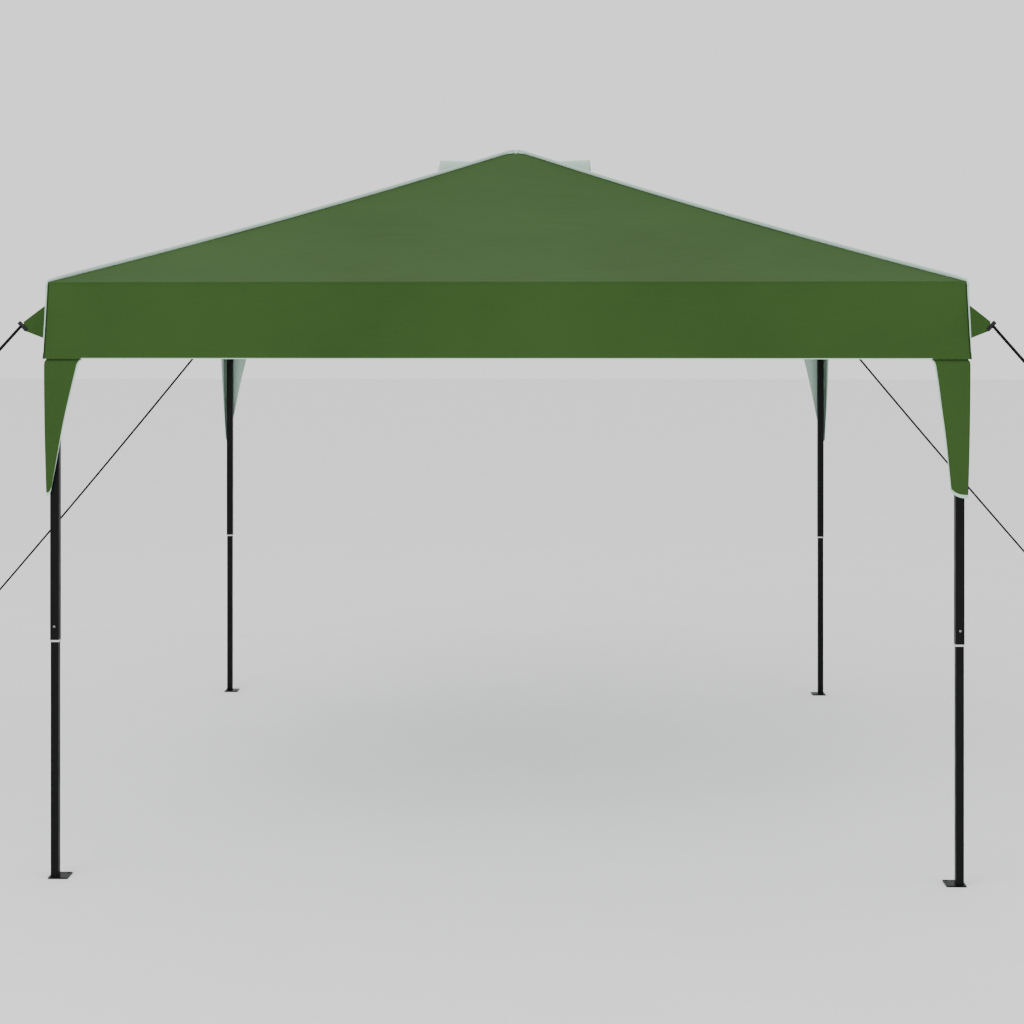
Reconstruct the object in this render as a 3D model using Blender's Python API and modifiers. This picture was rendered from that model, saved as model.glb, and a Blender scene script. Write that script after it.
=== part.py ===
"""Pop up gazebo: a square fabric canopy on four telescopic legs, opened by four diagonal scissor arms.

Metres, +Z up. The origin is on the ground at the centre. Each arm lies in the vertical plane from the
centre to one corner, with its descending bars in one layer and its ascending bars in a second layer.
"""

import math

import bmesh
import bpy
from mathutils import Matrix, Vector

# Canopy
EAVE_HALF = 1.445
EAVE_Z = 1.888
PEAK_Z = 2.450
VALANCE_TOP = 1.883
VALANCE_BOTTOM = 1.645
VALANCE_FLARE = 0.010
FABRIC = 0.001
HIP_GAP = 0.003
FLAP_TOP = 1.641
FLAP_BOTTOM = 1.245
FLAP_TOP_WIDTH = 0.110
FLAP_BOTTOM_WIDTH = 0.052

# Guy tabs and ropes
TAB_LENGTH = 0.065
TAB_TOP, TAB_BOTTOM = 1.815, 1.710
TAB_TIP_TOP, TAB_TIP_BOTTOM = 1.762, 1.734
TAB_THICKNESS = 0.002
ROPE_DIAMETER = 0.010
ROPE_POINTS = 17
FRONT_ROPE = {"length": 0.30, "turn": 45, "drop": 45, "sag": 0.002}
BACK_ROPE = {"length": 2.02, "turn": 20, "drop": 46, "sag": 0.012}

# Legs
LEG_HALF = 1.424
OUTER_LEG = 0.028
LOWER_LEG = 0.025
TUBE_WALL = 0.0012
LEG_TOP = 1.868
LEG_JOINT = 0.755
LOWER_LEG_TOP = 0.875
COLLAR_HEIGHT = 0.006
COLLAR_SIZE = 0.029
FOOT_SIDE = 0.062
FOOT_THICKNESS = 0.004
FOOT_OFFSET = 0.012
FOOT_PLUG = 0.0215
FOOT_PLUG_TOP = 0.034
PEG_HOLE_RADIUS = 0.0045
PEG_HOLE_INSET = 0.010

# Scissor arms, hubs and brackets
UPPER_PIVOT = 1.855
LOWER_PIVOT = 1.665
HUB_PIVOT_RADIUS = 0.075
LEG_PIVOT_INSET = 0.048
BAR_DEPTH = 0.020
BAR_WIDTH = 0.012
BAR_WALL = 0.0011
BAR_END = 0.010
LAYER_GAP = 0.001
EAR = 0.005
EAR_HEIGHT = 0.026
EAR_REACH = 0.014
EAR_GAP = 0.0005
HUB_RADIUS = 0.042
HUB_HEIGHT = 0.024
POLE_RADIUS = 0.011
POLE_TOP = 2.436
BORE_GAP = 0.0005
BRACKET_SIDE = 0.033
BRACKET_BOTTOM = 1.825
BRACKET_TOP = 1.872
RUNNER_SIDE = 0.040
RUNNER_HEIGHT = 0.040
RUNNER_BORE = 0.029
BLOCK_CHAMFER = 0.0012

GAP = 0.0003
ROUND_SEGMENTS = 24
SMOOTH_ANGLE = 40
CONE_WELD = 0.0001

CORNERS = {"front_left": (-1, -1), "front_right": (1, -1), "back_right": (1, 1), "back_left": (-1, 1)}
SIDES = {"front": -90, "right": 0, "back": 90, "left": 180}

LEG_RADIUS = LEG_HALF * math.sqrt(2)
LEG_PIVOT_RADIUS = LEG_RADIUS - LEG_PIVOT_INSET
CELL_SPAN = (LEG_PIVOT_RADIUS - HUB_PIVOT_RADIUS) / 2
CELL_HEIGHT = UPPER_PIVOT - LOWER_PIVOT
BAR_LENGTH = math.hypot(CELL_SPAN, CELL_HEIGHT)
BAR_ANGLE = math.atan2(CELL_HEIGHT, CELL_SPAN)
LAYER = (BAR_WIDTH + LAYER_GAP) / 2
TAB_START = (EAVE_HALF + VALANCE_FLARE) * math.sqrt(2) + 3 * GAP
ROPE_START = TAB_START + TAB_LENGTH + ROPE_DIAMETER
ROPE_TOP = (TAB_TIP_TOP + TAB_TIP_BOTTOM) / 2


def clear_scene():
    for obj in list(bpy.data.objects):
        bpy.data.objects.remove(obj, do_unlink=True)


def new_collection(name):
    collection = bpy.data.collections.new(name)
    bpy.context.scene.collection.children.link(collection)
    return collection


def material(name, color, roughness, metallic=0.0):
    made = bpy.data.materials.new(name)
    made.use_nodes = True
    shader = made.node_tree.nodes["Principled BSDF"]
    shader.inputs["Base Color"].default_value = (*color, 1)
    shader.inputs["Roughness"].default_value = roughness
    shader.inputs["Metallic"].default_value = metallic
    return made


def add_object(name, data, looks, matrix=None, collection=None):
    obj = bpy.data.objects.new(name, data)
    (collection or PARTS).objects.link(obj)
    if looks:
        obj.data.materials.append(looks)
    if matrix:
        obj.matrix_world = matrix
    return obj


def mesh_of(shape, name):
    mesh = bpy.data.meshes.new(name)
    shape.to_mesh(mesh)
    shape.free()
    return mesh


def box_shape(size, centre=(0, 0, 0)):
    shape = bmesh.new()
    bmesh.ops.create_cube(shape, size=1, matrix=Matrix.Translation(centre) @ Matrix.Diagonal((*size, 1)))
    return shape


def cylinder_shape(radius, bottom, top, caps=True):
    shape = bmesh.new()
    place = Matrix.Translation((0, 0, (bottom + top) / 2))
    bmesh.ops.create_cone(
        shape, cap_ends=caps, segments=ROUND_SEGMENTS, radius1=radius, radius2=radius,
        depth=top - bottom, matrix=place,
    )
    return shape


def solidify(obj, thickness, offset=-1.0):
    shell = obj.modifiers.new("thickness", "SOLIDIFY")
    shell.thickness = thickness
    shell.offset = offset


def helper(name, shape, matrix=None):
    """A hidden object that a Boolean uses."""
    obj = add_object(name, mesh_of(shape, name), None, matrix, CUTTERS)
    obj.hide_render = True
    obj.display_type = "WIRE"
    return obj


def combine(obj, other, operation):
    boolean = obj.modifiers.new(operation.lower(), "BOOLEAN")
    boolean.operation = operation
    boolean.object = other
    boolean.solver = "EXACT"


def smooth(obj):
    obj.data.shade_smooth()
    obj.data.set_sharp_from_angle(angle=math.radians(SMOOTH_ANGLE))


def upright_edges(shape):
    """The edges along local Z."""
    return [edge for edge in shape.edges if abs((edge.verts[0].co - edge.verts[1].co).z) > GAP]


def square_tube(name, looks, size, bottom, top, wall, matrix):
    """An open ended tube along local Z, with rounded long edges."""
    shape = box_shape((*size, top - bottom), (0, 0, (bottom + top) / 2))
    shape.normal_update()
    ends = [face for face in shape.faces if abs(face.normal.z) > abs(face.normal.x) + abs(face.normal.y)]
    bmesh.ops.delete(shape, geom=ends, context="FACES_ONLY")
    bmesh.ops.bevel(
        shape, geom=upright_edges(shape), offset=2 * wall, segments=2, profile=0.5, affect="EDGES",
        clamp_overlap=True,
    )
    obj = add_object(name, mesh_of(shape, name), looks, matrix)
    solidify(obj, wall)
    smooth(obj)
    return obj


def arm_directions(corner):
    """(outward, sideways) unit vectors of the arm that runs to this corner."""
    outward = Vector((*CORNERS[corner], 0)).normalized()
    return outward, Vector((-outward.y, outward.x, 0))


def in_arm(corner, radius, side, height):
    outward, sideways = arm_directions(corner)
    return outward * radius + sideways * side + Vector((0, 0, height))


def arm_matrix(corner, radius=0.0, height=0.0):
    """Local X outward along the arm, Y sideways, Z up."""
    outward, sideways = arm_directions(corner)
    turn = Matrix((outward, sideways, (0, 0, 1))).transposed().to_4x4()
    return Matrix.Translation(in_arm(corner, radius, 0, height)) @ turn


def bar_matrix(corner, radius, side, height, angle):
    """Local Z along a bar that rises outward at this angle, Y sideways."""
    outward, sideways = arm_directions(corner)
    along = outward * math.cos(angle) + Vector((0, 0, math.sin(angle)))
    turn = Matrix((sideways.cross(along), sideways, along)).transposed().to_4x4()
    return Matrix.Translation(in_arm(corner, radius, side, height)) @ turn


def add_arm(corner):
    """Two scissor cells. Each bar's origin is on the pivot that it turns about."""
    middle = (UPPER_PIVOT + LOWER_PIVOT) / 2
    for cell, first_radius in (("inner", HUB_PIVOT_RADIUS), ("outer", HUB_PIVOT_RADIUS + CELL_SPAN)):
        crossing = (first_radius + CELL_SPAN / 2, middle, BAR_LENGTH / 2)
        down_pivot = (first_radius, UPPER_PIVOT, 0) if cell == "inner" else crossing
        up_pivot = crossing if cell == "inner" else (first_radius, LOWER_PIVOT, 0)
        for way, (radius, height, before), side, angle in (
            ("down", down_pivot, LAYER, -BAR_ANGLE),
            ("up", up_pivot, -LAYER, BAR_ANGLE),
        ):
            square_tube(
                f"{cell}_bar_{way}_{corner}", STEEL, (BAR_DEPTH, BAR_WIDTH),
                -before - BAR_END, BAR_LENGTH - before + BAR_END, BAR_WALL,
                bar_matrix(corner, radius, side, height, angle),
            )


def ear_sides(layer):
    """Centres, sideways, of the two ears that hold a bar of this layer."""
    reach = BAR_WIDTH / 2 + EAR_GAP + EAR / 2
    return layer - reach, layer + reach


def ears_shape(inner, outer, layer, height):
    shape = bmesh.new()
    for side in ear_sides(layer):
        place = Matrix.Translation(((inner + outer) / 2, side, height))
        bmesh.ops.create_cube(
            shape, size=1, matrix=place @ Matrix.Diagonal((outer - inner, EAR, EAR_HEIGHT, 1))
        )
    return shape


def add_hub(name, height, layer):
    bottom, top = height - HUB_HEIGHT / 2, height + HUB_HEIGHT / 2
    obj = add_object(name, mesh_of(cylinder_shape(HUB_RADIUS, bottom, top), name), PLASTIC)
    for corner in CORNERS:
        ears = ears_shape(HUB_RADIUS / 2, HUB_PIVOT_RADIUS + EAR_REACH, layer, height)
        combine(obj, helper(f"{name}_ears_{corner}", ears, arm_matrix(corner)), "UNION")
    bore = cylinder_shape(POLE_RADIUS + GAP, bottom - HUB_HEIGHT, top + HUB_HEIGHT)
    combine(obj, helper(f"{name}_bore", bore), "DIFFERENCE")
    smooth(obj)


def add_pole():
    """The pole that stands in the upper hub and holds up the peak."""
    bottom = UPPER_PIVOT - HUB_HEIGHT / 2
    shape = cylinder_shape(POLE_RADIUS, bottom, POLE_TOP, caps=False)
    obj = add_object("peak_pole", mesh_of(shape, "peak_pole"), STEEL)
    solidify(obj, TUBE_WALL)
    smooth(obj)


def leg_place(corner, height=0.0):
    x, y = CORNERS[corner]
    return Matrix.Translation((x * LEG_HALF, y * LEG_HALF, height))


def add_leg_block(name, corner, side, bottom, top, pivot, layer, bore, bore_top):
    """A moulded block round the leg, with two ears towards the centre."""
    shape = box_shape((side, side, top - bottom), (0, 0, (bottom + top) / 2))
    bmesh.ops.bevel(
        shape, geom=upright_edges(shape), offset=BLOCK_CHAMFER, segments=2, profile=0.5, affect="EDGES"
    )
    obj = add_object(name, mesh_of(shape, name), PLASTIC, leg_place(corner))
    ears = ears_shape(LEG_PIVOT_RADIUS - EAR_REACH, LEG_RADIUS - BORE_GAP, layer, pivot)
    combine(obj, helper(f"{name}_ears", ears, arm_matrix(corner)), "UNION")
    cut = box_shape((bore, bore, bore_top - bottom + bore), (0, 0, (bore_top + bottom - bore) / 2))
    combine(obj, helper(f"{name}_bore", cut, leg_place(corner)), "DIFFERENCE")


def add_leg(corner):
    x, y = CORNERS[corner]
    place = leg_place(corner)
    square_tube(
        f"outer_leg_{corner}", STEEL, (OUTER_LEG, OUTER_LEG), LEG_JOINT, LEG_TOP, TUBE_WALL, place
    )
    square_tube(
        f"lower_leg_{corner}", STEEL, (LOWER_LEG, LOWER_LEG), FOOT_THICKNESS + GAP, LOWER_LEG_TOP,
        TUBE_WALL, place,
    )
    add_leg_block(
        f"top_bracket_{corner}", corner, BRACKET_SIDE, BRACKET_BOTTOM, BRACKET_TOP, UPPER_PIVOT,
        -LAYER, OUTER_LEG + 2 * GAP, LEG_TOP + GAP,
    )
    runner_bottom, runner_top = LOWER_PIVOT - RUNNER_HEIGHT / 2, LOWER_PIVOT + RUNNER_HEIGHT / 2
    add_leg_block(
        f"runner_{corner}", corner, RUNNER_SIDE, runner_bottom, runner_top, LOWER_PIVOT,
        LAYER, RUNNER_BORE, runner_top + RUNNER_BORE,
    )
    collar_middle = (0, 0, LEG_JOINT - GAP - COLLAR_HEIGHT / 2)
    collar = box_shape((COLLAR_SIZE, COLLAR_SIZE, COLLAR_HEIGHT), collar_middle)
    obj = add_object(f"leg_collar_{corner}", mesh_of(collar, "leg_collar"), PALE_PLASTIC, place)
    bore = LOWER_LEG + 2 * GAP
    cut = box_shape((bore, bore, 3 * COLLAR_HEIGHT), collar_middle)
    combine(obj, helper(f"leg_collar_{corner}_bore", cut, place), "DIFFERENCE")

    inward = Vector((-x * FOOT_OFFSET, -y * FOOT_OFFSET, FOOT_THICKNESS / 2))
    plate = box_shape((FOOT_SIDE, FOOT_SIDE, FOOT_THICKNESS), inward)
    obj = add_object(f"foot_{corner}", mesh_of(plate, "foot"), STEEL, place)
    plug = box_shape((FOOT_PLUG, FOOT_PLUG, FOOT_PLUG_TOP), (0, 0, FOOT_PLUG_TOP / 2 + GAP))
    combine(obj, helper(f"foot_{corner}_plug", plug, place), "UNION")
    hole = cylinder_shape(PEG_HOLE_RADIUS, -FOOT_THICKNESS, 2 * FOOT_THICKNESS)
    reach = FOOT_OFFSET + FOOT_SIDE / 2 - PEG_HOLE_INSET
    where = place @ Matrix.Translation((-x * reach, -y * reach, 0))
    combine(obj, helper(f"foot_{corner}_peg_hole", hole, where), "DIFFERENCE")


def add_roof():
    """Four triangular panels, a small gap apart at the hips."""
    for side, degrees in SIDES.items():
        shape = bmesh.new()
        height = PEAK_Z - EAVE_Z
        turn = Matrix.Rotation(math.radians(45), 4, "Z")
        bmesh.ops.create_cone(
            shape, cap_ends=False, segments=4, radius1=EAVE_HALF * math.sqrt(2), radius2=0,
            depth=height, matrix=Matrix.Translation((0, 0, EAVE_Z + height / 2)) @ turn,
        )
        bmesh.ops.remove_doubles(shape, verts=shape.verts, dist=CONE_WELD)
        shape.normal_update()
        outward = Vector((math.cos(math.radians(degrees)), math.sin(math.radians(degrees)), 0))
        panel = max(shape.faces, key=lambda face: face.normal.dot(outward))
        bmesh.ops.delete(shape, geom=[f for f in shape.faces if f is not panel], context="FACES")
        rim = bmesh.ops.inset_individual(shape, faces=list(shape.faces), thickness=HIP_GAP)["faces"]
        bmesh.ops.delete(shape, geom=rim, context="FACES")
        obj = add_object(f"roof_panel_{side}", mesh_of(shape, "roof_panel"), FABRIC_GREEN)
        solidify(obj, FABRIC)


def add_valance():
    """A square band that hangs from the eave and flares a little."""
    shape = bmesh.new()
    turn = Matrix.Rotation(math.radians(45), 4, "Z")
    bmesh.ops.create_cone(
        shape, cap_ends=False, segments=4, radius1=(EAVE_HALF + VALANCE_FLARE) * math.sqrt(2),
        radius2=EAVE_HALF * math.sqrt(2), depth=VALANCE_TOP - VALANCE_BOTTOM,
        matrix=Matrix.Translation((0, 0, (VALANCE_TOP + VALANCE_BOTTOM) / 2)) @ turn,
    )
    obj = add_object("valance", mesh_of(shape, "valance"), FABRIC_GREEN)
    solidify(obj, FABRIC)


def add_flap(corner):
    """The leg cover: two tapering wings that meet at the corner of the valance."""
    x, y = CORNERS[corner]
    edge = EAVE_HALF + VALANCE_FLARE - FABRIC / 2
    shape = bmesh.new()
    rows = []
    for height, width in ((FLAP_TOP, FLAP_TOP_WIDTH), (FLAP_BOTTOM, FLAP_BOTTOM_WIDTH)):
        rows.append([
            shape.verts.new((x * (edge - width), y * edge, height)),
            shape.verts.new((x * edge, y * edge, height)),
            shape.verts.new((x * edge, y * (edge - width), height)),
        ])
    for wing in (0, 1):
        shape.faces.new((rows[0][wing], rows[0][wing + 1], rows[1][wing + 1], rows[1][wing]))
    obj = add_object(f"leg_flap_{corner}", mesh_of(shape, "leg_flap"), FABRIC_GREEN)
    solidify(obj, FABRIC, 0.0)


def add_tab(corner):
    """A doubled fabric tab on the canopy's corner, in the plane of the arm."""
    curve = bpy.data.curves.new(f"guy_tab_{corner}", "CURVE")
    curve.dimensions = "2D"
    curve.fill_mode = "BOTH"
    curve.extrude = TAB_THICKNESS / 2
    outline = ((0, TAB_BOTTOM), (TAB_LENGTH, TAB_TIP_BOTTOM), (TAB_LENGTH, TAB_TIP_TOP), (0, TAB_TOP))
    spline = curve.splines.new("POLY")
    spline.points.add(len(outline) - 1)
    for point, (reach, height) in zip(spline.points, outline):
        point.co = (reach, height, 0, 1)
    spline.use_cyclic_u = True
    stand_up = Matrix.Rotation(math.radians(90), 4, "X")
    add_object(curve.name, curve, FABRIC_GREEN, arm_matrix(corner, TAB_START) @ stand_up)


def rope_route(corner, rope):
    """Points from the tab's tip outward and down, with a little sag."""
    x, y = CORNERS[corner]
    turn, drop = math.radians(rope["turn"]), math.radians(rope["drop"])
    level = Vector((x * math.cos(turn), y * math.sin(turn), 0))
    along = level * math.cos(drop) - Vector((0, 0, math.sin(drop)))
    start = in_arm(corner, ROPE_START, 0, ROPE_TOP)
    points = []
    for i in range(ROPE_POINTS):
        share = i / (ROPE_POINTS - 1)
        sag = Vector((0, 0, 4 * rope["sag"] * share * (1 - share)))
        points.append(start + along * rope["length"] * share - sag)
    return points


def add_rope(corner):
    rope = FRONT_ROPE if corner.startswith("front") else BACK_ROPE
    curve = bpy.data.curves.new(f"guy_rope_{corner}", "CURVE")
    curve.dimensions = "3D"
    curve.bevel_depth = ROPE_DIAMETER / 2
    curve.bevel_resolution = 2
    curve.use_fill_caps = True
    route = rope_route(corner, rope)
    spline = curve.splines.new("POLY")
    spline.points.add(len(route) - 1)
    for point, place in zip(spline.points, route):
        point.co = (*place, 1)
    add_object(curve.name, curve, WEBBING)


clear_scene()
PARTS = new_collection("Pop Up Gazebo")
CUTTERS = new_collection("Cutters")
FABRIC_GREEN = material("canopy_fabric", (0.075, 0.15, 0.036), 0.75)
WEBBING = material("webbing", (0.02, 0.02, 0.02), 0.8)
STEEL = material("powder_coated_steel", (0.015, 0.015, 0.017), 0.4, 0.3)
PLASTIC = material("black_plastic", (0.02, 0.02, 0.02), 0.5)
PALE_PLASTIC = material("pale_plastic", (0.7, 0.72, 0.72), 0.5)

add_roof()
add_valance()
add_hub("upper_hub", UPPER_PIVOT, LAYER)
add_hub("lower_hub", LOWER_PIVOT, -LAYER)
add_pole()
for corner_name in CORNERS:
    add_arm(corner_name)
    add_leg(corner_name)
    add_flap(corner_name)
    add_tab(corner_name)
    add_rope(corner_name)
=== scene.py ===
import math

import bmesh
import bpy
import numpy as np
from mathutils import Matrix, Vector, noise


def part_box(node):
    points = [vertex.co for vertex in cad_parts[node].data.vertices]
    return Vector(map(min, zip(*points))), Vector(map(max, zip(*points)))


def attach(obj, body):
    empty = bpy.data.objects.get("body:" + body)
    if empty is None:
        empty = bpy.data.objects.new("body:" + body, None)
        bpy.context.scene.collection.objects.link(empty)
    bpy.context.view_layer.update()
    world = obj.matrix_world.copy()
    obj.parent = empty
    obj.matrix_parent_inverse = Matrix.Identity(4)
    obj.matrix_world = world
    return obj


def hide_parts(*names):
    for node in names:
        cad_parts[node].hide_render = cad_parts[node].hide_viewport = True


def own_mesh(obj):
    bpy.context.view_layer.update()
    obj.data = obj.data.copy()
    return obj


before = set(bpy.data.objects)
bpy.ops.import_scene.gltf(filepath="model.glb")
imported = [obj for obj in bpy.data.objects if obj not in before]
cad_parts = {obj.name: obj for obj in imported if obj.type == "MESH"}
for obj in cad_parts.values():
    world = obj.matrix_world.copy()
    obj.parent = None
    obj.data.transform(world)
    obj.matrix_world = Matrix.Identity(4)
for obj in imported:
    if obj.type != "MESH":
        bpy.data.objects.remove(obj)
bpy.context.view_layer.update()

# Camera
CAMERA_PLACE = (0.180, -6.779, 1.719)
CAMERA_YAW = 1.653
CAMERA_LENS = 59.80
CAMERA_SHIFT = -0.1724
SENSOR = 36.0

# Stage
STUDIO_LIGHT = 1.3
FLOOR_HALF = 60.0
FLOOR_BELOW = 0.0005
LAMP_SIZE = 6.0
LAMP_AIM = (0, 0, 1.4)
LAMPS = {"key": ((-5.0, -7.0, 8.0), 420.0), "fill": ((7.0, -5.0, 5.0), 160.0)}

# Canopy, from the CAD
EAVE_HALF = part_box("roof_panel_right")[1].x
PEAK_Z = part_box("roof_panel_right")[1].z
EAVE_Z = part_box("roof_panel_right")[0].z
VALANCE_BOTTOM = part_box("valance")[0].z
VALANCE_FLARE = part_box("valance")[1].x - EAVE_HALF
CLOTH = 0.001
ROOF_DROP = PEAK_Z - EAVE_Z
VALANCE_DROP = EAVE_Z - VALANCE_BOTTOM

# Canopy, as cloth
GORES = 24
GORE_STEPS = 12
CORNER_FINE = (0.12, 0.35, 0.7)
ROOF_ROWS = 44
LAST_ROOF_SHARES = [0.985, 0.995]
PEAK_ROUND = 0.012
HIP_SAG = 0.014
PANEL_SAG = 0.020
ROOF_WRINKLE = 0.0035
ROOF_RIPPLES = (3.1, 1.4)
ROOF_RIPPLE_SEED = 5.0
VALANCE_ROWS = 10
VALANCE_WAVE = 0.0028
VALANCE_RIPPLES = (4.6, 0.8)
HEM_HEIGHT = 0.022
HEM_PROUD = 0.0010
HEM_BINDING = 0.0030
STITCH_DEPTH = 0.0008
STITCH_WIDTH = 0.0018
EAVE_SEAM = 0.007
SEAM_ROWS = 7
SEAM_ROW_SHARE = 0.3
# Width of the painted seam shade along hips and corners
SEAM_SHADE_WIDTH = 0.008
EAVE_RIDGE = 0.0022
TINY = 1e-6
DIVIDE_SLACK = 1e-12

# Hip piping
PIPING_STEPS = 64
PIPING_CORNER_STEPS = 18
PIPING_START = 0.004
PIPING_SPAN = 0.994
PIPING_TALL = 0.013
PIPING_WIDE = 0.0055
PIPING_CORNER = 0.0055
PIPING_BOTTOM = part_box("guy_tab_front_left")[0].z
PIPING_SIDES = 10
PIPING_SUNK = 0.001
PIPING_BLEND = 5

# Peak patch
PATCH_RADIUS = 0.018
PATCH_TALL = 0.016
PATCH_SINK = 0.006

# Vents
VENT_REACH = 0.292
VENT_TOP_Z = 2.405
VENT_WIDTH_IN = 0.030
VENT_WIDTH_OUT = 0.150
VENT_CHEEK = 0.80
VENT_LIFT = 0.003
VENT_START = 0.012
VENT_LEVEL = 0.55
VENT_END = {"left": 0.020, "right": 0.006}
VENT_RIDGE_POWER = 1.3
VENT_ROUND_POWER = 0.8
VENT_PALE_CHEEK = VENT_CHEEK - 0.1
VENT_COLUMNS = 32
VENT_ROWS = 20
VENT_CLOSING_ROWS = 2

# Leg flaps
FLAP_TOP = VALANCE_BOTTOM + 0.012
FLAP_BOTTOM = 1.212
FLAP_TOP_WIDTH = 0.118
FLAP_EDGE = EAVE_HALF + VALANCE_FLARE - 0.0024
FLAP_ROUND = 0.022
FLAP_TIP_WIDTH = {"front_left": 0.016, "front_right": 0.054, "back_right": 0.020, "back_left": 0.018}
FLAP_COLUMNS = 40
FLAP_ROWS = 44
FLAP_BULGE = 0.0035
FLAP_TUCK = 0.0075
FLAP_TUCK_FADE = 0.010
FLAP_PULL = 0.006
FLAP_BINDING_SHARE = 0.955
FLAP_TAPER_POWER = 0.92
FLAP_RIPPLES = (1.5, 2.5)
FLAP_RIPPLE_SEED = 3.0

# Tabs, sliders and ropes
TAB_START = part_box("guy_tab_front_right")[0].x * math.sqrt(2)
TAB_LENGTH = 0.065
TAB_BASE = (1.710, 1.815)
TAB_TIP = (1.734, 1.762)
TAB_THICK = 0.0022
TAB_ROWS = 14
TAB_COLUMNS = 12
TAB_CURL = 0.0015
SLIDER_SIZE = (0.012, 0.008, 0.036)
SLIDER_ROUND = 0.0018
SLIDER_BACK = 0.6
ROPE_DIAMETER = 0.010
ROPE_START = TAB_START + TAB_LENGTH + ROPE_DIAMETER
ROPE_TOP = sum(TAB_TIP) / 2
FRONT_ROPE = {"length": 0.30, "turn": 45, "drop": 45, "sag": 0.002}
BACK_ROPE = {"length": 2.02, "turn": 20, "drop": 46, "sag": 0.012}
ROPE_RING = 0.0026
ROPE_PITCH = 0.030
ROPE_SIDES = 12
ROPE_STRANDS = 3
STRAND_DEPTH = 0.07
LOOP_RADIUS = 0.016
LOOP_STEPS = 40
LOOP_GAP = 3
KNOT_END = 0.1
KNOT_STEPS = 9
KNOT_WAIST = 0.55
KNOT_BULGE = 0.3

# Frame, repeated from the CAD
LEG_HALF = 1.424
OUTER_LEG = 0.028
LEG_JOINT = 0.755
UPPER_PIVOT = 1.855
LOWER_PIVOT = 1.665
HUB_PIVOT_RADIUS = 0.075
LEG_PIVOT_RADIUS = LEG_HALF * math.sqrt(2) - 0.048
CELL_SPAN = (LEG_PIVOT_RADIUS - HUB_PIVOT_RADIUS) / 2
BAR_WIDTH = 0.012
LAYER = 0.0065
EAR_OUTER = BAR_WIDTH / 2 + 0.0055
RIVET_RADIUS = 0.0062
RIVET_TALL = 0.0026
RIVET_SIDES = 20
BUTTON_RADIUS = 0.0042
BUTTON_TALL = 0.0028
BUTTON_ABOVE_JOINT = 0.042
DOME_STEPS = 6
TOUCH = 0.0002

CORNERS = {"front_left": (-1, -1), "front_right": (1, -1), "back_right": (1, 1), "back_left": (-1, 1)}


# ---------------------------------------------------------------- materials

CLOTH_THREAD = 0.0012
CLOTH_SHEEN = 0.02
BRAID_THREAD = 0.0022
RUBBED_PALER = 3.2
BANDS_PER_UNIT = 20


def shader_tree(name):
    made = bpy.data.materials.new(name)
    made.use_nodes = True
    return made, made.node_tree, made.node_tree.nodes["Principled BSDF"]


def node(tree, kind, links=None, values=None, **settings):
    made = tree.nodes.new("ShaderNode" + kind)
    for key, value in settings.items():
        setattr(made, key, value)
    for key, value in (values or {}).items():
        made.inputs[key].default_value = value
    for key, source in (links or {}).items():
        tree.links.new(source, made.inputs[key])
    return made


def noise_factor(tree, place, scale, detail=3.0, rough=0.5):
    made = node(tree, "TexNoise", {"Vector": place}, {"Scale": scale, "Detail": detail, "Roughness": rough})
    return made.outputs["Fac"]


def spread(tree, factor, low, high, from_low=0.3, from_high=0.7):
    """The factor stretched to low and high."""
    values = {"From Min": from_low, "From Max": from_high, "To Min": low, "To Max": high}
    return node(tree, "MapRange", {"Value": factor}, values).outputs["Result"]


def tones(tree, factor, dark, light):
    """A colour between dark and light."""
    ramp = node(tree, "ValToRGB", {"Fac": factor})
    ramp.color_ramp.elements[0].position = 0.3
    ramp.color_ramp.elements[1].position = 0.7
    ramp.color_ramp.elements[0].color = (*dark, 1)
    ramp.color_ramp.elements[1].color = (*light, 1)
    return ramp.outputs["Color"]


def mixed(tree, kind, share, first, second):
    made = node(tree, "Mix", data_type="RGBA", blend_type=kind)
    made.inputs["Factor"].default_value = share
    tree.links.new(first, made.inputs["A"])
    tree.links.new(second, made.inputs["B"])
    return made.outputs["Result"]


def bump(tree, height, distance, strength, before=None):
    links = {"Height": height}
    if before:
        links["Normal"] = before
    return node(tree, "Bump", links, {"Distance": distance, "Strength": strength}).outputs["Normal"]


def threads(tree, place, turn, pitch):
    """Rows of thread a pitch apart, square to the turned X axis."""
    turned = node(tree, "Mapping", {"Vector": place}, {"Rotation": turn}).outputs["Vector"]
    wave = node(
        tree, "TexWave", {"Vector": turned},
        {"Scale": 1 / pitch / BANDS_PER_UNIT, "Distortion": 0.4, "Detail": 1.0, "Detail Scale": 2.0},
        wave_type="BANDS", bands_direction="X", wave_profile="SIN",
    )
    return wave.outputs["Fac"]


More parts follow.
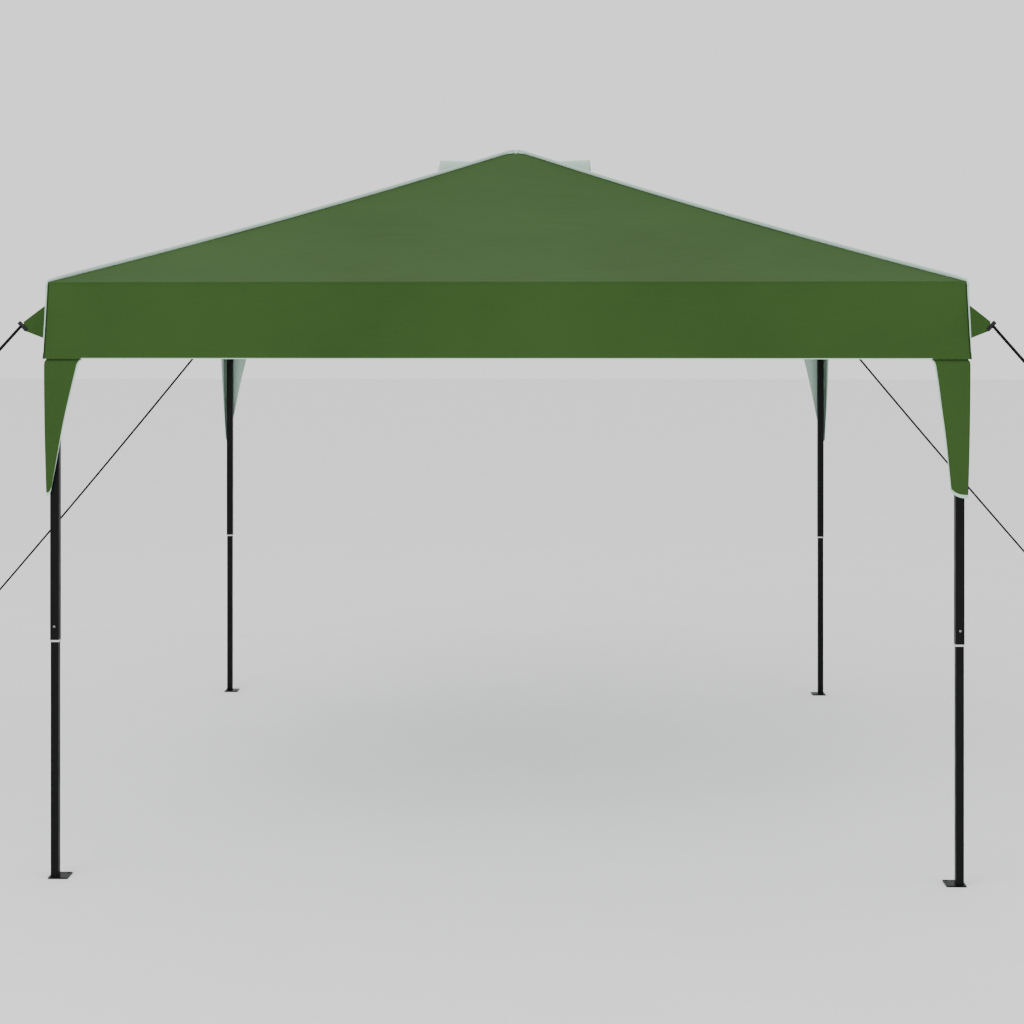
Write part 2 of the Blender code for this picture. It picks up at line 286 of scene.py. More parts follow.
def cloth_material(name, dark, light, rough, crease):
    """Coated woven polyester: soft blotches, a fine weave and shallow storage creases."""
    made, tree, shader = shader_tree(name)
    place = node(tree, "TexCoord").outputs["Object"]
    blotch = noise_factor(tree, place, 1.7, 4.0, 0.55)
    fine = noise_factor(tree, place, 260.0, 2.0, 0.6)
    warp = threads(tree, place, (0, 0, math.radians(45)), CLOTH_THREAD)
    weft = threads(tree, place, (0, math.radians(90), 0), CLOTH_THREAD)
    weave = node(tree, "Math", {0: warp, 1: weft}, operation="MULTIPLY").outputs[0]
    base = tones(tree, blotch, dark, light)
    grain = tones(tree, fine, (0.86, 0.86, 0.86), (1.0, 1.0, 1.0))
    tree.links.new(mixed(tree, "MULTIPLY", 0.5, base, grain), shader.inputs["Base Color"])
    tree.links.new(spread(tree, fine, rough - 0.05, rough + 0.06), shader.inputs["Roughness"])
    stretched = node(tree, "Mapping", {"Vector": place}, {"Scale": (2.2, 2.2, 6.0)}).outputs["Vector"]
    creases = node(
        tree, "TexNoise", {"Vector": stretched},
        {"Scale": 1.6, "Detail": 5.0, "Roughness": 0.55, "Distortion": 0.8},
    ).outputs["Fac"]
    soft = bump(tree, creases, 0.010, crease)
    tree.links.new(bump(tree, weave, 0.0004, 0.25, soft), shader.inputs["Normal"])
    shader.inputs["Sheen Weight"].default_value = CLOTH_SHEEN
    shader.inputs["Sheen Roughness"].default_value = 0.5
    shader.inputs["Specular IOR Level"].default_value = 0.12
    return made


def coated_metal(name, dark, light, rough, metallic, specular):
    """Powder coat with a fine orange peel, rubbed paler here and there."""
    made, tree, shader = shader_tree(name)
    place = node(tree, "TexCoord").outputs["Object"]
    patches = noise_factor(tree, place, 9.0, 5.0, 0.6)
    peel = noise_factor(tree, place, 620.0, 2.0, 0.5)
    streaks = node(tree, "Mapping", {"Vector": place}, {"Scale": (90.0, 90.0, 6.0)}).outputs["Vector"]
    rubs = spread(tree, noise_factor(tree, streaks, 3.0, 4.0, 0.7), 0.0, 1.0, 0.62, 0.80)
    base = tones(tree, patches, dark, light)
    worn = node(tree, "Mix", {"Factor": rubs, "A": base}, data_type="RGBA")
    worn.inputs["B"].default_value = (*(RUBBED_PALER * c for c in light), 1)
    tree.links.new(worn.outputs["Result"], shader.inputs["Base Color"])
    tree.links.new(spread(tree, patches, rough - 0.07, rough + 0.08), shader.inputs["Roughness"])
    tree.links.new(bump(tree, peel, 0.00025, 0.25), shader.inputs["Normal"])
    shader.inputs["Metallic"].default_value = metallic
    shader.inputs["Specular IOR Level"].default_value = specular
    return made


def moulded_plastic(name, dark, light, rough):
    """Nylon from a spark-eroded mould."""
    made, tree, shader = shader_tree(name)
    place = node(tree, "TexCoord").outputs["Object"]
    patches = noise_factor(tree, place, 14.0, 4.0, 0.6)
    grain = noise_factor(tree, place, 1100.0, 3.0, 0.6)
    tree.links.new(tones(tree, patches, dark, light), shader.inputs["Base Color"])
    tree.links.new(spread(tree, grain, rough - 0.08, rough + 0.08), shader.inputs["Roughness"])
    tree.links.new(bump(tree, grain, 0.0003, 0.35), shader.inputs["Normal"])
    shader.inputs["Specular IOR Level"].default_value = 0.2
    return made


def braided(name, dark, light):
    """Two slanting sets of strands, slightly fuzzy."""
    made, tree, shader = shader_tree(name)
    place = node(tree, "TexCoord").outputs["Object"]
    fuzz = noise_factor(tree, place, 900.0, 3.0, 0.6)
    along = threads(tree, place, (0, math.radians(45), math.radians(30)), BRAID_THREAD)
    across = threads(tree, place, (0, math.radians(-45), math.radians(30)), BRAID_THREAD)
    braid = node(tree, "Math", {0: along, 1: across}, operation="MAXIMUM").outputs[0]
    tree.links.new(tones(tree, fuzz, dark, light), shader.inputs["Base Color"])
    tree.links.new(spread(tree, fuzz, 0.78, 0.95), shader.inputs["Roughness"])
    tree.links.new(bump(tree, braid, 0.0005, 0.6, bump(tree, fuzz, 0.0002, 0.4)), shader.inputs["Normal"])
    shader.inputs["Specular IOR Level"].default_value = 0.1
    return made


GREEN = cloth_material("green_cloth", (0.0275, 0.069, 0.0135), (0.0330, 0.080, 0.0162), 0.80, 0.45)
# Darker green: painted shade of the seam beside the hip piping
SEAM_SHADE = cloth_material("green_painted_seam_shade", (0.012, 0.036, 0.0060), (0.015, 0.042, 0.0075), 0.85, 0.20)
LINING = cloth_material("pale_lining", (0.41, 0.56, 0.48), (0.49, 0.64, 0.56), 0.70, 0.15)
STEEL = coated_metal(
    "black_powder_coat", (0.0028, 0.0028, 0.0031), (0.0045, 0.0045, 0.0050),
    rough=0.44, metallic=0.0, specular=0.10,
)
PLASTIC = moulded_plastic("black_nylon", (0.010, 0.010, 0.011), (0.017, 0.017, 0.018), 0.55)
PALE_PLASTIC = moulded_plastic("pale_nylon", (0.50, 0.52, 0.52), (0.60, 0.62, 0.62), 0.5)
ROPE = braided("black_braid", (0.003, 0.003, 0.003), (0.008, 0.008, 0.009))
ZINC = coated_metal(
    "zinc_plate", (0.30, 0.30, 0.31), (0.22, 0.22, 0.23), rough=0.36, metallic=1.0, specular=0.5,
)


# ---------------------------------------------------------------- mesh helpers

def link(name, mesh, *looks):
    for look in looks:
        mesh.materials.append(look)
    obj = bpy.data.objects.new(name, mesh)
    bpy.context.scene.collection.objects.link(obj)
    return obj


def grid_normals(points, round_trip=False):
    """Smooth normals of a grid of points, one row after another. The columns join up in a round trip."""
    ahead = np.roll(points, -1, axis=1) - points
    behind = points - np.roll(points, 1, axis=1)
    across = ahead / (np.linalg.norm(ahead, axis=2, keepdims=True) + DIVIDE_SLACK)
    across = across + behind / (np.linalg.norm(behind, axis=2, keepdims=True) + DIVIDE_SLACK)
    if not round_trip:
        across[:, 0] = ahead[:, 0]
        across[:, -1] = behind[:, -1]
    down = np.gradient(points, axis=0)
    normals = np.cross(down, across)
    return normals / (np.linalg.norm(normals, axis=2, keepdims=True) + DIVIDE_SLACK)


def cloth_shell(name, points, normals, thickness, looks, look_of=None):
    """A closed thin shell: the outer face on the points, the inner one a thickness behind them.
    looks are the outer, inner and edge materials, and look_of picks an outer face's by row and column."""
    rows, columns = points.shape[:2]
    apex = np.ptp(points[0], axis=0).max() < TINY
    outer, inner = {}, {}
    verts, vert_normals = [], []
    for row in range(rows):
        for column in range(columns):
            key = (row, 0) if apex and row == 0 else (row, column)
            for layer, depth, sign in ((outer, 0.0, 1), (inner, thickness, -1)):
                if key not in layer:
                    layer[key] = len(verts)
                    verts.append(points[key] - normals[key] * depth)
                    vert_normals.append(normals[key] * sign)
                layer[row, column] = layer[key]
    faces, kinds, smooth_faces = [], [], []

    def face(corners, kind, is_smooth):
        kept = [c for i, c in enumerate(corners) if c not in corners[:i]]
        if len(kept) > 2:
            faces.append(kept)
            kinds.append(kind)
            smooth_faces.append(is_smooth)

    for row in range(rows - 1):
        for column in range(columns - 1):
            ring = ((row, column), (row + 1, column), (row + 1, column + 1), (row, column + 1))
            kind = look_of(row, column) if look_of else 0
            face([outer[k] for k in ring], kind, True)
            face([inner[k] for k in reversed(ring)], 1, True)
    edges = [((r, 0), (r + 1, 0)) for r in range(rows - 1)]
    edges += [((rows - 1, c), (rows - 1, c + 1)) for c in range(columns - 1)]
    edges += [((r + 1, columns - 1), (r, columns - 1)) for r in range(rows - 1)]
    if not apex:
        edges += [((0, c + 1), (0, c)) for c in range(columns - 1)]
    for start, end in edges:
        face([outer[end], outer[start], inner[start], inner[end]], 2, False)
    mesh = bpy.data.meshes.new(name)
    mesh.from_pydata([tuple(v) for v in verts], [], faces)
    mesh.polygons.foreach_set("material_index", kinds)
    mesh.polygons.foreach_set("use_smooth", [True] * len(faces))
    mesh.update()
    loops = []
    for polygon, is_smooth in zip(mesh.polygons, smooth_faces):
        loops += [vert_normals[v] if is_smooth else polygon.normal for v in polygon.vertices]
    mesh.normals_split_custom_set([tuple(n) for n in loops])
    return link(name, mesh, *looks)


def lathe(shape, profile, matrix, sides):
    """A closed turned body: profile is (radius, height), from the axis below to the axis above."""
    rings = []
    for radius, height in profile:
        count = 1 if radius == 0 else sides
        turns = [2 * math.pi * i / sides for i in range(count)]
        rings.append([shape.verts.new(matrix @ Vector((radius * math.cos(a), radius * math.sin(a), height)))
                      for a in turns])
    for low, high in zip(rings, rings[1:]):
        for i in range(sides):
            j = (i + 1) % sides
            ring = [low[i % len(low)], low[j % len(low)], high[j % len(high)], high[i % len(high)]]
            kept = [v for k, v in enumerate(ring) if v not in ring[:k]]
            shape.faces.new(kept)


def finished(name, shape, look, angle=40):
    bmesh.ops.recalc_face_normals(shape, faces=shape.faces)
    mesh = bpy.data.meshes.new(name)
    shape.to_mesh(mesh)
    shape.free()
    mesh.shade_smooth()
    mesh.set_sharp_from_angle(angle=math.radians(angle))
    return link(name, mesh, look)


def swept(shape, route, sideways, section):
    """A closed tube: section(i) gives the ring's points as (side, up) offsets from route[i]."""
    rings = []
    for i, place in enumerate(route):
        ahead = route[min(i + 1, len(route) - 1)] - route[max(i - 1, 0)]
        side = (sideways - ahead * (sideways.dot(ahead) / ahead.length_squared)).normalized()
        up = side.cross(ahead).normalized()
        rings.append([shape.verts.new(place + side * a + up * b) for a, b in section(i)])
    for low, high in zip(rings, rings[1:]):
        for i in range(len(low)):
            j = (i + 1) % len(low)
            shape.faces.new((low[i], low[j], high[j], high[i]))
    shape.faces.new(rings[0])
    shape.faces.new(rings[-1])


def arm_directions(corner):
    outward = Vector((*CORNERS[corner], 0)).normalized()
    return outward, Vector((-outward.y, outward.x, 0))


def in_arm(corner, radius, side, height):
    outward, sideways = arm_directions(corner)
    return outward * radius + sideways * side + Vector((0, 0, height))


# ---------------------------------------------------------------- canopy

def eave_radius(angle):
    return EAVE_HALF / max(abs(math.cos(angle)), abs(math.sin(angle)))


def roof_z(share, angle):
    """Height of the cloth at this share of the way from the peak to the eave."""
    quarter = (angle + math.pi / 4) % (math.pi / 2) - math.pi / 4
    along = math.tan(quarter)
    rounded = (math.hypot(share, PEAK_ROUND) - PEAK_ROUND) / (math.hypot(1, PEAK_ROUND) - PEAK_ROUND)
    slack = 4 * share * (1 - share)
    sag = slack * (HIP_SAG + PANEL_SAG * (1 - along ** 2))
    round_way, down_way = ROOF_RIPPLES
    ripple = noise.noise(Vector((
        math.cos(angle) * round_way, math.sin(angle) * round_way, share * down_way + ROOF_RIPPLE_SEED,
    )))
    return PEAK_Z - ROOF_DROP * rounded - sag + ROOF_WRINKLE * slack * (1 - along ** 4) * ripple


def valance_push(angle, drop):
    """How far the hanging cloth stands out, with its eave seam, soft waves and sewn hem."""
    share = drop / VALANCE_DROP
    above_hem = VALANCE_DROP - drop
    quarter = (angle + math.pi / 4) % (math.pi / 2) - math.pi / 4
    along = math.tan(quarter)
    calm = 1 - along ** 4
    round_way, down_way = VALANCE_RIPPLES
    wave = noise.noise(Vector((math.cos(angle) * round_way, math.sin(angle) * round_way, share * down_way)))
    hem = HEM_PROUD / (1 + math.exp((above_hem - HEM_HEIGHT) / STITCH_WIDTH * 2))
    stitch = STITCH_DEPTH * math.exp(-(((above_hem - HEM_HEIGHT) / STITCH_WIDTH) ** 2))
    seam = EAVE_RIDGE * math.exp(-((drop / EAVE_SEAM) ** 2))
    return VALANCE_FLARE * share + VALANCE_WAVE * calm * share * wave + hem - stitch + seam


def canopy_angles():
    """Column angles, finer beside each corner. Every gore's edges are among them."""
    step = 2 * math.pi / (GORES * GORE_STEPS)
    angles = [i * step - math.pi / GORES for i in range(GORES * GORE_STEPS)]
    for quarter in range(4):
        corner = math.pi / 4 + quarter * math.pi / 2
        for fine in CORNER_FINE:
            angles += [corner - math.radians(fine), corner + math.radians(fine)]
    return np.array(sorted(angles))


def canopy_grid(angles):
    """The outer face of the cloth: rows run down from the peak to the hem, and columns go round."""
    roof_shares = sorted([i / ROOF_ROWS for i in range(ROOF_ROWS)] + LAST_ROOF_SHARES)
    hem_rows = [VALANCE_DROP - h for h in (
        HEM_HEIGHT + 2 * STITCH_WIDTH, HEM_HEIGHT + STITCH_WIDTH, HEM_HEIGHT, HEM_HEIGHT - STITCH_WIDTH,
        HEM_BINDING + STITCH_WIDTH, HEM_BINDING, 0.0,
    )]
    drops = [EAVE_SEAM * SEAM_ROW_SHARE * i for i in range(SEAM_ROWS)]
    drops += [VALANCE_DROP * i / VALANCE_ROWS for i in range(1, VALANCE_ROWS)] + hem_rows
    points = np.zeros((len(roof_shares) + len(drops), len(angles), 3))
    for column, angle in enumerate(angles):
        direction = np.array((math.cos(angle), math.sin(angle), 0))
        reach = eave_radius(angle)
        for row, share in enumerate(roof_shares):
            points[row, column] = direction * reach * share + (0, 0, roof_z(share, angle))
        for row, drop in enumerate(sorted(drops)):
            wide = (EAVE_HALF + valance_push(angle, drop)) / EAVE_HALF
            points[len(roof_shares) + row, column] = direction * reach * wide + (0, 0, EAVE_Z - drop)
    return points


def add_canopy():
    """One continuous surface with one set of normals, cut into gores."""
    angles = canopy_angles()
    points = canopy_grid(angles)
    normals = grid_normals(points, round_trip=True)
    normals[0] = (0, 0, 1)
    last = points.shape[0] - 2
    for gore in range(GORES):
        middle = 2 * math.pi * gore / GORES
        low, high = middle - math.pi / GORES, middle + math.pi / GORES
        columns = [i for i, a in enumerate(angles) if low - TINY <= a <= high + TINY]
        if gore == GORES - 1:
            columns.append(0)
        own = points[:, columns]

        def look_of(row, column):
            """Pale hem binding except over the leg flaps, and painted shade along hips and corners: darker
            green where the seam beside the piping lies in shadow.
            """
            x, y = np.abs(own[row:row + 2, column:column + 2]).mean(axis=(0, 1))[:2]
            if row == last and min(x, y) < EAVE_HALF - FLAP_TOP_WIDTH:
                return 1
            # Columns beside hips and corners take the painted seam shade
            return 3 if row > 1 and min(x, y) > max(x, y) - SEAM_SHADE_WIDTH else 0

        piece = cloth_shell(
            f"canopy_gore_{gore + 1:02d}", own, normals[:, columns], CLOTH,
            (GREEN, LINING, LINING, SEAM_SHADE), look_of,
        )
        side = ("right", "back", "left", "front")[round(middle / (math.pi / 2)) % 4]
        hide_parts(f"roof_panel_{side}", "valance")
        fold_with_canopy(piece)


def fold_with_canopy(piece):
    """Attaches the piece to the canopy body and gives it a mesh of its own."""
    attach(piece, "canopy")
    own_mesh(piece)


def add_piping(corner):
    """The pale strip sewn into the hip, and on down the corner of the valance."""
    x, y = CORNERS[corner]
    angle = math.atan2(y, x)
    outward, sideways = arm_directions(corner)
    route, tall = [], []
    for i in range(PIPING_STEPS):
        share = PIPING_START + PIPING_SPAN * i / (PIPING_STEPS - 1)
        route.append(outward * eave_radius(angle) * share + Vector((0, 0, roof_z(share, angle))))
        tall.append(PIPING_TALL)
    for i in range(1, PIPING_CORNER_STEPS + 1):
        drop = (EAVE_Z - PIPING_BOTTOM) * i / PIPING_CORNER_STEPS
        wide = 1 + valance_push(angle, drop) / EAVE_HALF
        route.append(outward * eave_radius(angle) * wide + Vector((0, 0, EAVE_Z - drop)))
        tall.append(PIPING_CORNER)
    padded = np.pad(tall, PIPING_BLEND // 2, "edge")
    smooth_tall = np.convolve(padded, np.ones(PIPING_BLEND) / PIPING_BLEND, "valid")

    def section(i):
        ring = []
        for k in range(PIPING_SIDES):
            turn = 2 * math.pi * k / PIPING_SIDES
            up = smooth_tall[i] * (0.5 - 0.5 * math.cos(turn)) - PIPING_SUNK
            ring.append((PIPING_WIDE / 2 * math.sin(turn), up))
        return ring

    shape = bmesh.new()
    swept(shape, route, -sideways, section)
    piece = finished(f"hip_piping_{corner}", shape, LINING)
    fold_with_canopy(piece)


def add_vent(name, sign, end_length, end_look):
    """A cowl over the gap beside the peak, held open at its outer end. A closing sheet stands for the mouth,
    and on the right cowl it is black: painted shade of the opening.
    """
    last_open = VENT_ROWS - 1 - VENT_CLOSING_ROWS
    points = np.zeros((VENT_ROWS, VENT_COLUMNS, 3))
    for row in range(VENT_ROWS):
        share = row / last_open
        ending = max(0, row - last_open) / VENT_CLOSING_ROWS
        reach = VENT_START + (VENT_REACH - VENT_START) * min(share, 1) + end_length * ending
        half = VENT_WIDTH_IN + (VENT_WIDTH_OUT - VENT_WIDTH_IN) * min(share, 1)
        top = VENT_TOP_Z + (PEAK_Z - VENT_TOP_Z) * max(0, 1 - share / VENT_LEVEL) ** VENT_RIDGE_POWER
        for column in range(VENT_COLUMNS):
            across = 2 * column / (VENT_COLUMNS - 1) - 1
            spot_y = half * across
            turn = math.atan2(spot_y, reach)
            floor = roof_z(math.hypot(reach, spot_y) / eave_radius(turn), turn) + VENT_LIFT
            cheek = min(1, (1 - abs(across)) / (1 - VENT_CHEEK))
            rounding = (math.sin(cheek * math.pi / 2) * (1 - ending)) ** VENT_ROUND_POWER
            rise = max(0, top - floor) * rounding
            points[row, column] = (sign * reach, sign * spot_y, floor + rise)
    normals = grid_normals(points)
    if normals[VENT_ROWS // 2, VENT_COLUMNS // 2, 2] < 0:
        points = points[:, ::-1]
        normals = grid_normals(points)

    def look_of(row, column):
        across = abs(2 * (column + 0.5) / (VENT_COLUMNS - 1) - 1)
        # The closing rows take end_look, which is black on the right cowl as painted shade of the shaded
        # mouth
        if row >= last_open:
            return end_look
        return 1 if across > VENT_PALE_CHEEK else 0

    piece = cloth_shell(name, points, normals, CLOTH, (GREEN, LINING, LINING, ROPE), look_of)
    fold_with_canopy(piece)


def add_peak_patch():
    """The round patch that closes the four hip strips at the top."""
    shape = bmesh.new()
    add_dome(shape, Vector((0, 0, PEAK_Z - PATCH_SINK)), Vector((0, 0, 1)), PATCH_RADIUS, PATCH_TALL)
    piece = finished("peak_patch", shape, LINING, 70)
    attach(piece, "canopy")


# ---------------------------------------------------------------- corners

def add_flap(corner):
    """The leg cover: two tapering wings that meet at the corner, bound in pale tape."""
    x, y = CORNERS[corner]
    round_way, down_way = FLAP_RIPPLES
    tip = FLAP_TIP_WIDTH[corner]
    points = np.zeros((FLAP_ROWS, FLAP_COLUMNS + 1, 3))
    shares = np.linspace(-1, 1, FLAP_COLUMNS - 1)
    shares = np.sort(np.append(shares, (-FLAP_BINDING_SHARE, FLAP_BINDING_SHARE)))
    for column, side in enumerate(shares):
        bottom = FLAP_BOTTOM + FLAP_ROUND * abs(side) ** 3
        for row in range(FLAP_ROWS):
            share = row / (FLAP_ROWS - 1)
            width = FLAP_TOP_WIDTH + (tip - FLAP_TOP_WIDTH) * share ** FLAP_TAPER_POWER
            reach = abs(side) * width
            z = FLAP_TOP + (bottom - FLAP_TOP) * share
            bulge = FLAP_BULGE * math.sin(math.pi * share) * abs(side)
            bulge *= noise.noise(Vector((side * round_way + x, share * down_way + y, FLAP_RIPPLE_SEED)))
            tuck = FLAP_TUCK * min(1, max(0, 1 - (VALANCE_BOTTOM - z) / FLAP_TUCK_FADE))
            edge = FLAP_EDGE + bulge - tuck - FLAP_PULL * share * share
            flat_x, flat_y = (edge, edge - reach) if side < 0 else (edge - reach, edge)
            points[row, column] = (x * flat_x, y * flat_y, z)
    normals = grid_normals(points)
    middle = normals[FLAP_ROWS // 2, FLAP_COLUMNS // 4]
    if middle[0] * x + middle[1] * y < 0:
        points = points[:, ::-1]
        normals = grid_normals(points)
    last = FLAP_COLUMNS - 1
    piece = cloth_shell(
        f"flap_cloth_{corner}", points, normals, CLOTH, (GREEN, LINING, LINING),
        lambda row, column: 1 if column in (0, last) or row == FLAP_ROWS - 2 else 0,
    )
    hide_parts(f"leg_flap_{corner}")
    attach(piece, f"leg_{corner}")


def add_tab(corner):
    """A doubled cloth triangle on the corner, ending in a moulded slider."""
    _, sideways = arm_directions(corner)
    points = np.zeros((TAB_ROWS, TAB_COLUMNS, 3))
    for row in range(TAB_ROWS):
        share = row / (TAB_ROWS - 1)
        low = TAB_BASE[0] + (TAB_TIP[0] - TAB_BASE[0]) * share
        high = TAB_BASE[1] + (TAB_TIP[1] - TAB_BASE[1]) * share
        for column in range(TAB_COLUMNS):
            up = column / (TAB_COLUMNS - 1)
            curl = TAB_CURL * math.sin(math.pi * share) * math.sin(math.pi * up)
            height = low + (high - low) * up
            push = valance_push(math.radians(45), EAVE_Z - height)
            base = (EAVE_HALF + push) * math.sqrt(2) + TOUCH
            reach = base + (TAB_START + TAB_LENGTH - base) * share
            points[row, column] = in_arm(corner, reach, curl + TAB_THICK / 2, height)
    normals = grid_normals(points)
    if Vector(normals[TAB_ROWS // 2, TAB_COLUMNS // 2]).dot(sideways) < 0:
        points = points[:, ::-1]
        normals = grid_normals(points)
    piece = cloth_shell(f"tab_cloth_{corner}", points, normals, TAB_THICK, (GREEN, GREEN, GREEN))
    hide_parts(f"guy_tab_{corner}")
    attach(piece, f"leg_{corner}")


def rope_route(corner, rope, count):
    """Points along the taut rope, with its slight sag, and the direction it runs in."""
    x, y = CORNERS[corner]
    turn, drop = math.radians(rope["turn"]), math.radians(rope["drop"])
    level = Vector((x * math.cos(turn), y * math.sin(turn), 0))
    along = level * math.cos(drop) - Vector((0, 0, math.sin(drop)))
    start = in_arm(corner, ROPE_START, 0, ROPE_TOP)
    points = []
    for i in range(count):
        share = i / (count - 1)
        sag = Vector((0, 0, 4 * rope["sag"] * share * (1 - share)))
        points.append(start + along * rope["length"] * share - sag)
    return points, along


def add_slider(corner, drop):
    """The moulded slider at the tab's tip, tilted along the rope."""
    outward, across = arm_directions(corner)
    shape = bmesh.new()
    bmesh.ops.create_cube(shape, size=1, matrix=Matrix.Diagonal((*SLIDER_SIZE, 1)))
    bmesh.ops.bevel(shape, geom=shape.edges[:], offset=SLIDER_ROUND, segments=3, profile=0.5, affect="EDGES")
    tilt = Matrix.Rotation(math.radians(drop), 4, "Y")
    turn = Matrix((outward, across, (0, 0, 1))).transposed().to_4x4()
    spot = in_arm(corner, ROPE_START - ROPE_DIAMETER * SLIDER_BACK, 0, ROPE_TOP)
    bmesh.ops.transform(shape, matrix=Matrix.Translation(spot) @ turn @ tilt, verts=shape.verts)
    slider = finished(f"tab_slider_{corner}", shape, PLASTIC)
    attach(slider, f"leg_{corner}")
    return slider


def add_loop(corner, end, along, sideways):
    """The tied loop and its knot at the far end of the rope."""
    shape = bmesh.new()
    middle = end + along * LOOP_RADIUS
    turns = (2 * math.pi * i / LOOP_STEPS + math.pi for i in range(LOOP_STEPS - LOOP_GAP))
    across = sideways.cross(along)
    circle = [middle + (along * math.cos(a) + across * math.sin(a)) * LOOP_RADIUS for a in turns]
    swept(shape, circle, sideways, strands)
    half = ROPE_DIAMETER
    swell = [(half * (KNOT_WAIST + KNOT_BULGE * math.sin(a)), half * (a / math.pi * 2 - 1))
             for a in np.linspace(KNOT_END, math.pi - KNOT_END, KNOT_STEPS)]
    knot = Matrix.Translation(end) @ along.to_track_quat("Z", "Y").to_matrix().to_4x4()
    lathe(shape, [(0, -half)] + swell + [(0, half)], knot, ROPE_SIDES)
    loop = finished(f"rope_loop_{corner}", shape, ROPE, 70)
    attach(loop, f"leg_{corner}")
    return loop


def strands(i):
    """The rope's section at its ring i: three twisted strands."""
    ring = []
    twist = 2 * math.pi * i * ROPE_RING / ROPE_PITCH
    for k in range(ROPE_SIDES):
        turn = 2 * math.pi * k / ROPE_SIDES
        swell = math.cos(ROPE_STRANDS * (turn - twist))
        radius = ROPE_DIAMETER / 2 * (1 - STRAND_DEPTH + STRAND_DEPTH * swell)
        ring.append((radius * math.cos(turn), radius * math.sin(turn)))
    return ring


def add_rope(corner):
    rope = FRONT_ROPE if corner.startswith("front") else BACK_ROPE
    route, along = rope_route(corner, rope, int(rope["length"] / ROPE_RING))
    sideways = along.cross(Vector((0, 0, 1))).normalized()
    shape = bmesh.new()
    swept(shape, route, sideways, strands)
    piece = finished(f"rope_{corner}", shape, ROPE, 70)
    slider = add_slider(corner, rope["drop"])
    loop = add_loop(corner, route[-1], along, sideways)
    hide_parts(f"guy_rope_{corner}")
    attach(piece, f"leg_{corner}")


# ---------------------------------------------------------------- fittings

DOME_TURNS = np.linspace(0, math.pi / 2, DOME_STEPS + 1)[:-1]
DOME = [(0, 0)] + [(math.cos(a), math.sin(a)) for a in DOME_TURNS] + [(0, 1)]


def add_dome(shape, place, direction, radius, tall):
    """A low dome that stands on place and rises in this direction."""
    matrix = Matrix.Translation(place) @ direction.to_track_quat("Z", "Y").to_matrix().to_4x4()
    lathe(shape, [(radius * r, tall * h) for r, h in DOME], matrix, RIVET_SIDES)


def add_rivets(corner):
    """Domed rivet heads on both sides of every pivot, one piece for each bar."""
    middle = (UPPER_PIVOT + LOWER_PIVOT) / 2
    joint_radius = HUB_PIVOT_RADIUS + CELL_SPAN
    stack = LAYER + BAR_WIDTH / 2
    pivots = {
        "inner_bar_down": (
            (HUB_PIVOT_RADIUS, UPPER_PIVOT, LAYER - EAR_OUTER, LAYER + EAR_OUTER),
            (HUB_PIVOT_RADIUS + CELL_SPAN / 2, middle, -stack, stack),
            (joint_radius, LOWER_PIVOT, -stack, stack),
        ),
        "inner_bar_up": (
            (HUB_PIVOT_RADIUS, LOWER_PIVOT, -LAYER - EAR_OUTER, -LAYER + EAR_OUTER),
            (joint_radius, UPPER_PIVOT, -stack, stack),
        ),
        "outer_bar_up": (
            (joint_radius + CELL_SPAN / 2, middle, -stack, stack),
            (LEG_PIVOT_RADIUS, UPPER_PIVOT, -LAYER - EAR_OUTER, -LAYER + EAR_OUTER),
        ),
        "outer_bar_down": ((LEG_PIVOT_RADIUS, LOWER_PIVOT, LAYER - EAR_OUTER, LAYER + EAR_OUTER),),
    }
    _, sideways = arm_directions(corner)
    for bar, places in pivots.items():
        shape = bmesh.new()
        for radius, height, low, high in places:
            for side, direction in ((low - TOUCH, -sideways), (high + TOUCH, sideways)):
                place = in_arm(corner, radius, side, height)
                add_dome(shape, place, direction, RIVET_RADIUS, RIVET_TALL)
        piece = finished(f"rivets_{bar}_{corner}", shape, ZINC, 50)
        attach(piece, f"{bar}_{corner}")


def add_button(corner):
    """The spring button that locks the two leg tubes."""
    x, y = CORNERS[corner]
    shape = bmesh.new()
    height = LEG_JOINT + BUTTON_ABOVE_JOINT
    place = Vector((x * LEG_HALF, y * (LEG_HALF + OUTER_LEG / 2 + TOUCH), height))
    add_dome(shape, place, Vector((0, y, 0)), BUTTON_RADIUS, BUTTON_TALL)
    piece = finished(f"leg_button_{corner}", shape, ZINC, 50)
    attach(piece, f"leg_{corner}")


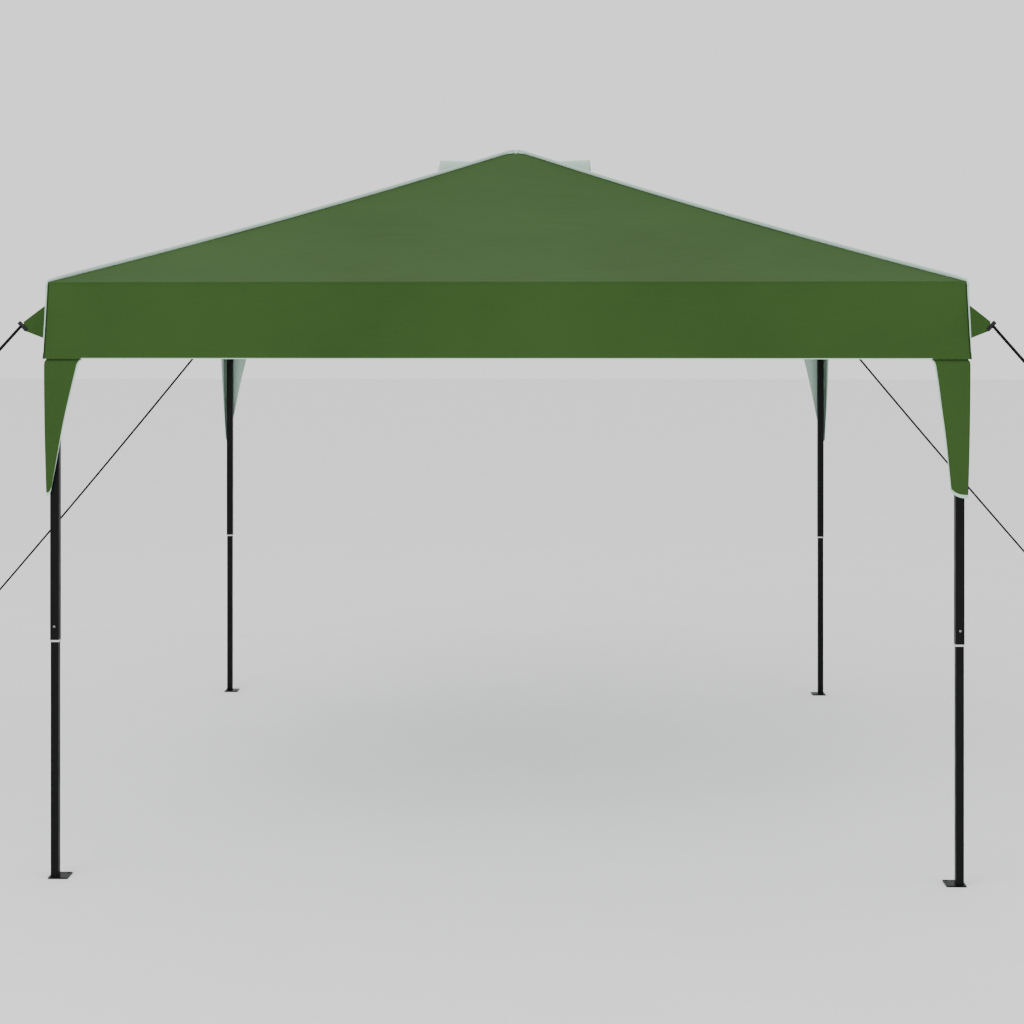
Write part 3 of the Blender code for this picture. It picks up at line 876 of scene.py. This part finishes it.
def finish_frame():
    """The CAD nodes that stay in view get their own materials."""
    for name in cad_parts:
        looks = STEEL
        if name.startswith("leg_collar"):
            looks = PALE_PLASTIC
        elif name.startswith(("upper_hub", "lower_hub", "top_bracket", "runner")):
            looks = PLASTIC
        node_object = bpy.data.objects.get(name)
        for material_slot in node_object.material_slots:
            material_slot.material = looks
        if not node_object.material_slots:
            node_object.data.materials.append(looks)


# ---------------------------------------------------------------- stage

def add_floor():
    bpy.ops.mesh.primitive_plane_add(size=2 * FLOOR_HALF, location=(0, 0, -FLOOR_BELOW))
    floor = bpy.context.object
    floor.name = "studio_floor"
    made, tree, shader = shader_tree("studio_floor")
    place = node(tree, "TexCoord").outputs["Object"]
    tree.links.new(
        tones(tree, noise_factor(tree, place, 2.0), (0.86, 0.86, 0.86), (0.88, 0.88, 0.88)),
        shader.inputs["Base Color"],
    )
    shader.inputs["Roughness"].default_value = 0.9
    floor.data.materials.append(made)


def add_lights():
    world = bpy.data.worlds.new("studio")
    world.use_nodes = True
    world.node_tree.nodes["Background"].inputs["Color"].default_value = (1.0, 1.0, 1.0, 1)
    world.node_tree.nodes["Background"].inputs["Strength"].default_value = STUDIO_LIGHT
    bpy.context.scene.world = world
    for name, (place, power) in LAMPS.items():
        light = bpy.data.lights.new(name, "AREA")
        light.size = LAMP_SIZE
        light.energy = power
        lamp = bpy.data.objects.new(name, light)
        lamp.location = place
        aim = Vector(LAMP_AIM) - Vector(place)
        lamp.rotation_euler = aim.to_track_quat("-Z", "Y").to_euler()
        bpy.context.scene.collection.objects.link(lamp)


def add_camera():
    camera = bpy.data.cameras.new("camera")
    camera.sensor_width = SENSOR
    camera.lens = CAMERA_LENS
    camera.shift_y = CAMERA_SHIFT
    view = bpy.data.objects.new("camera", camera)
    view.location = CAMERA_PLACE
    view.rotation_euler = (math.radians(90), 0, math.radians(CAMERA_YAW))
    bpy.context.scene.collection.objects.link(view)
    bpy.context.scene.camera = view


add_floor()
add_lights()
add_camera()
finish_frame()
add_canopy()
# The right cowl's mouth is in the black braid material as painted shade of the opening; the left one stays
# pale lining
add_vent("vent_cowl_right", 1, VENT_END["right"], 3)
add_vent("vent_cowl_left", -1, VENT_END["left"], 1)
add_peak_patch()
for corner_name in CORNERS:
    add_piping(corner_name)
    add_flap(corner_name)
    add_tab(corner_name)
    add_rope(corner_name)
    add_rivets(corner_name)
    add_button(corner_name)
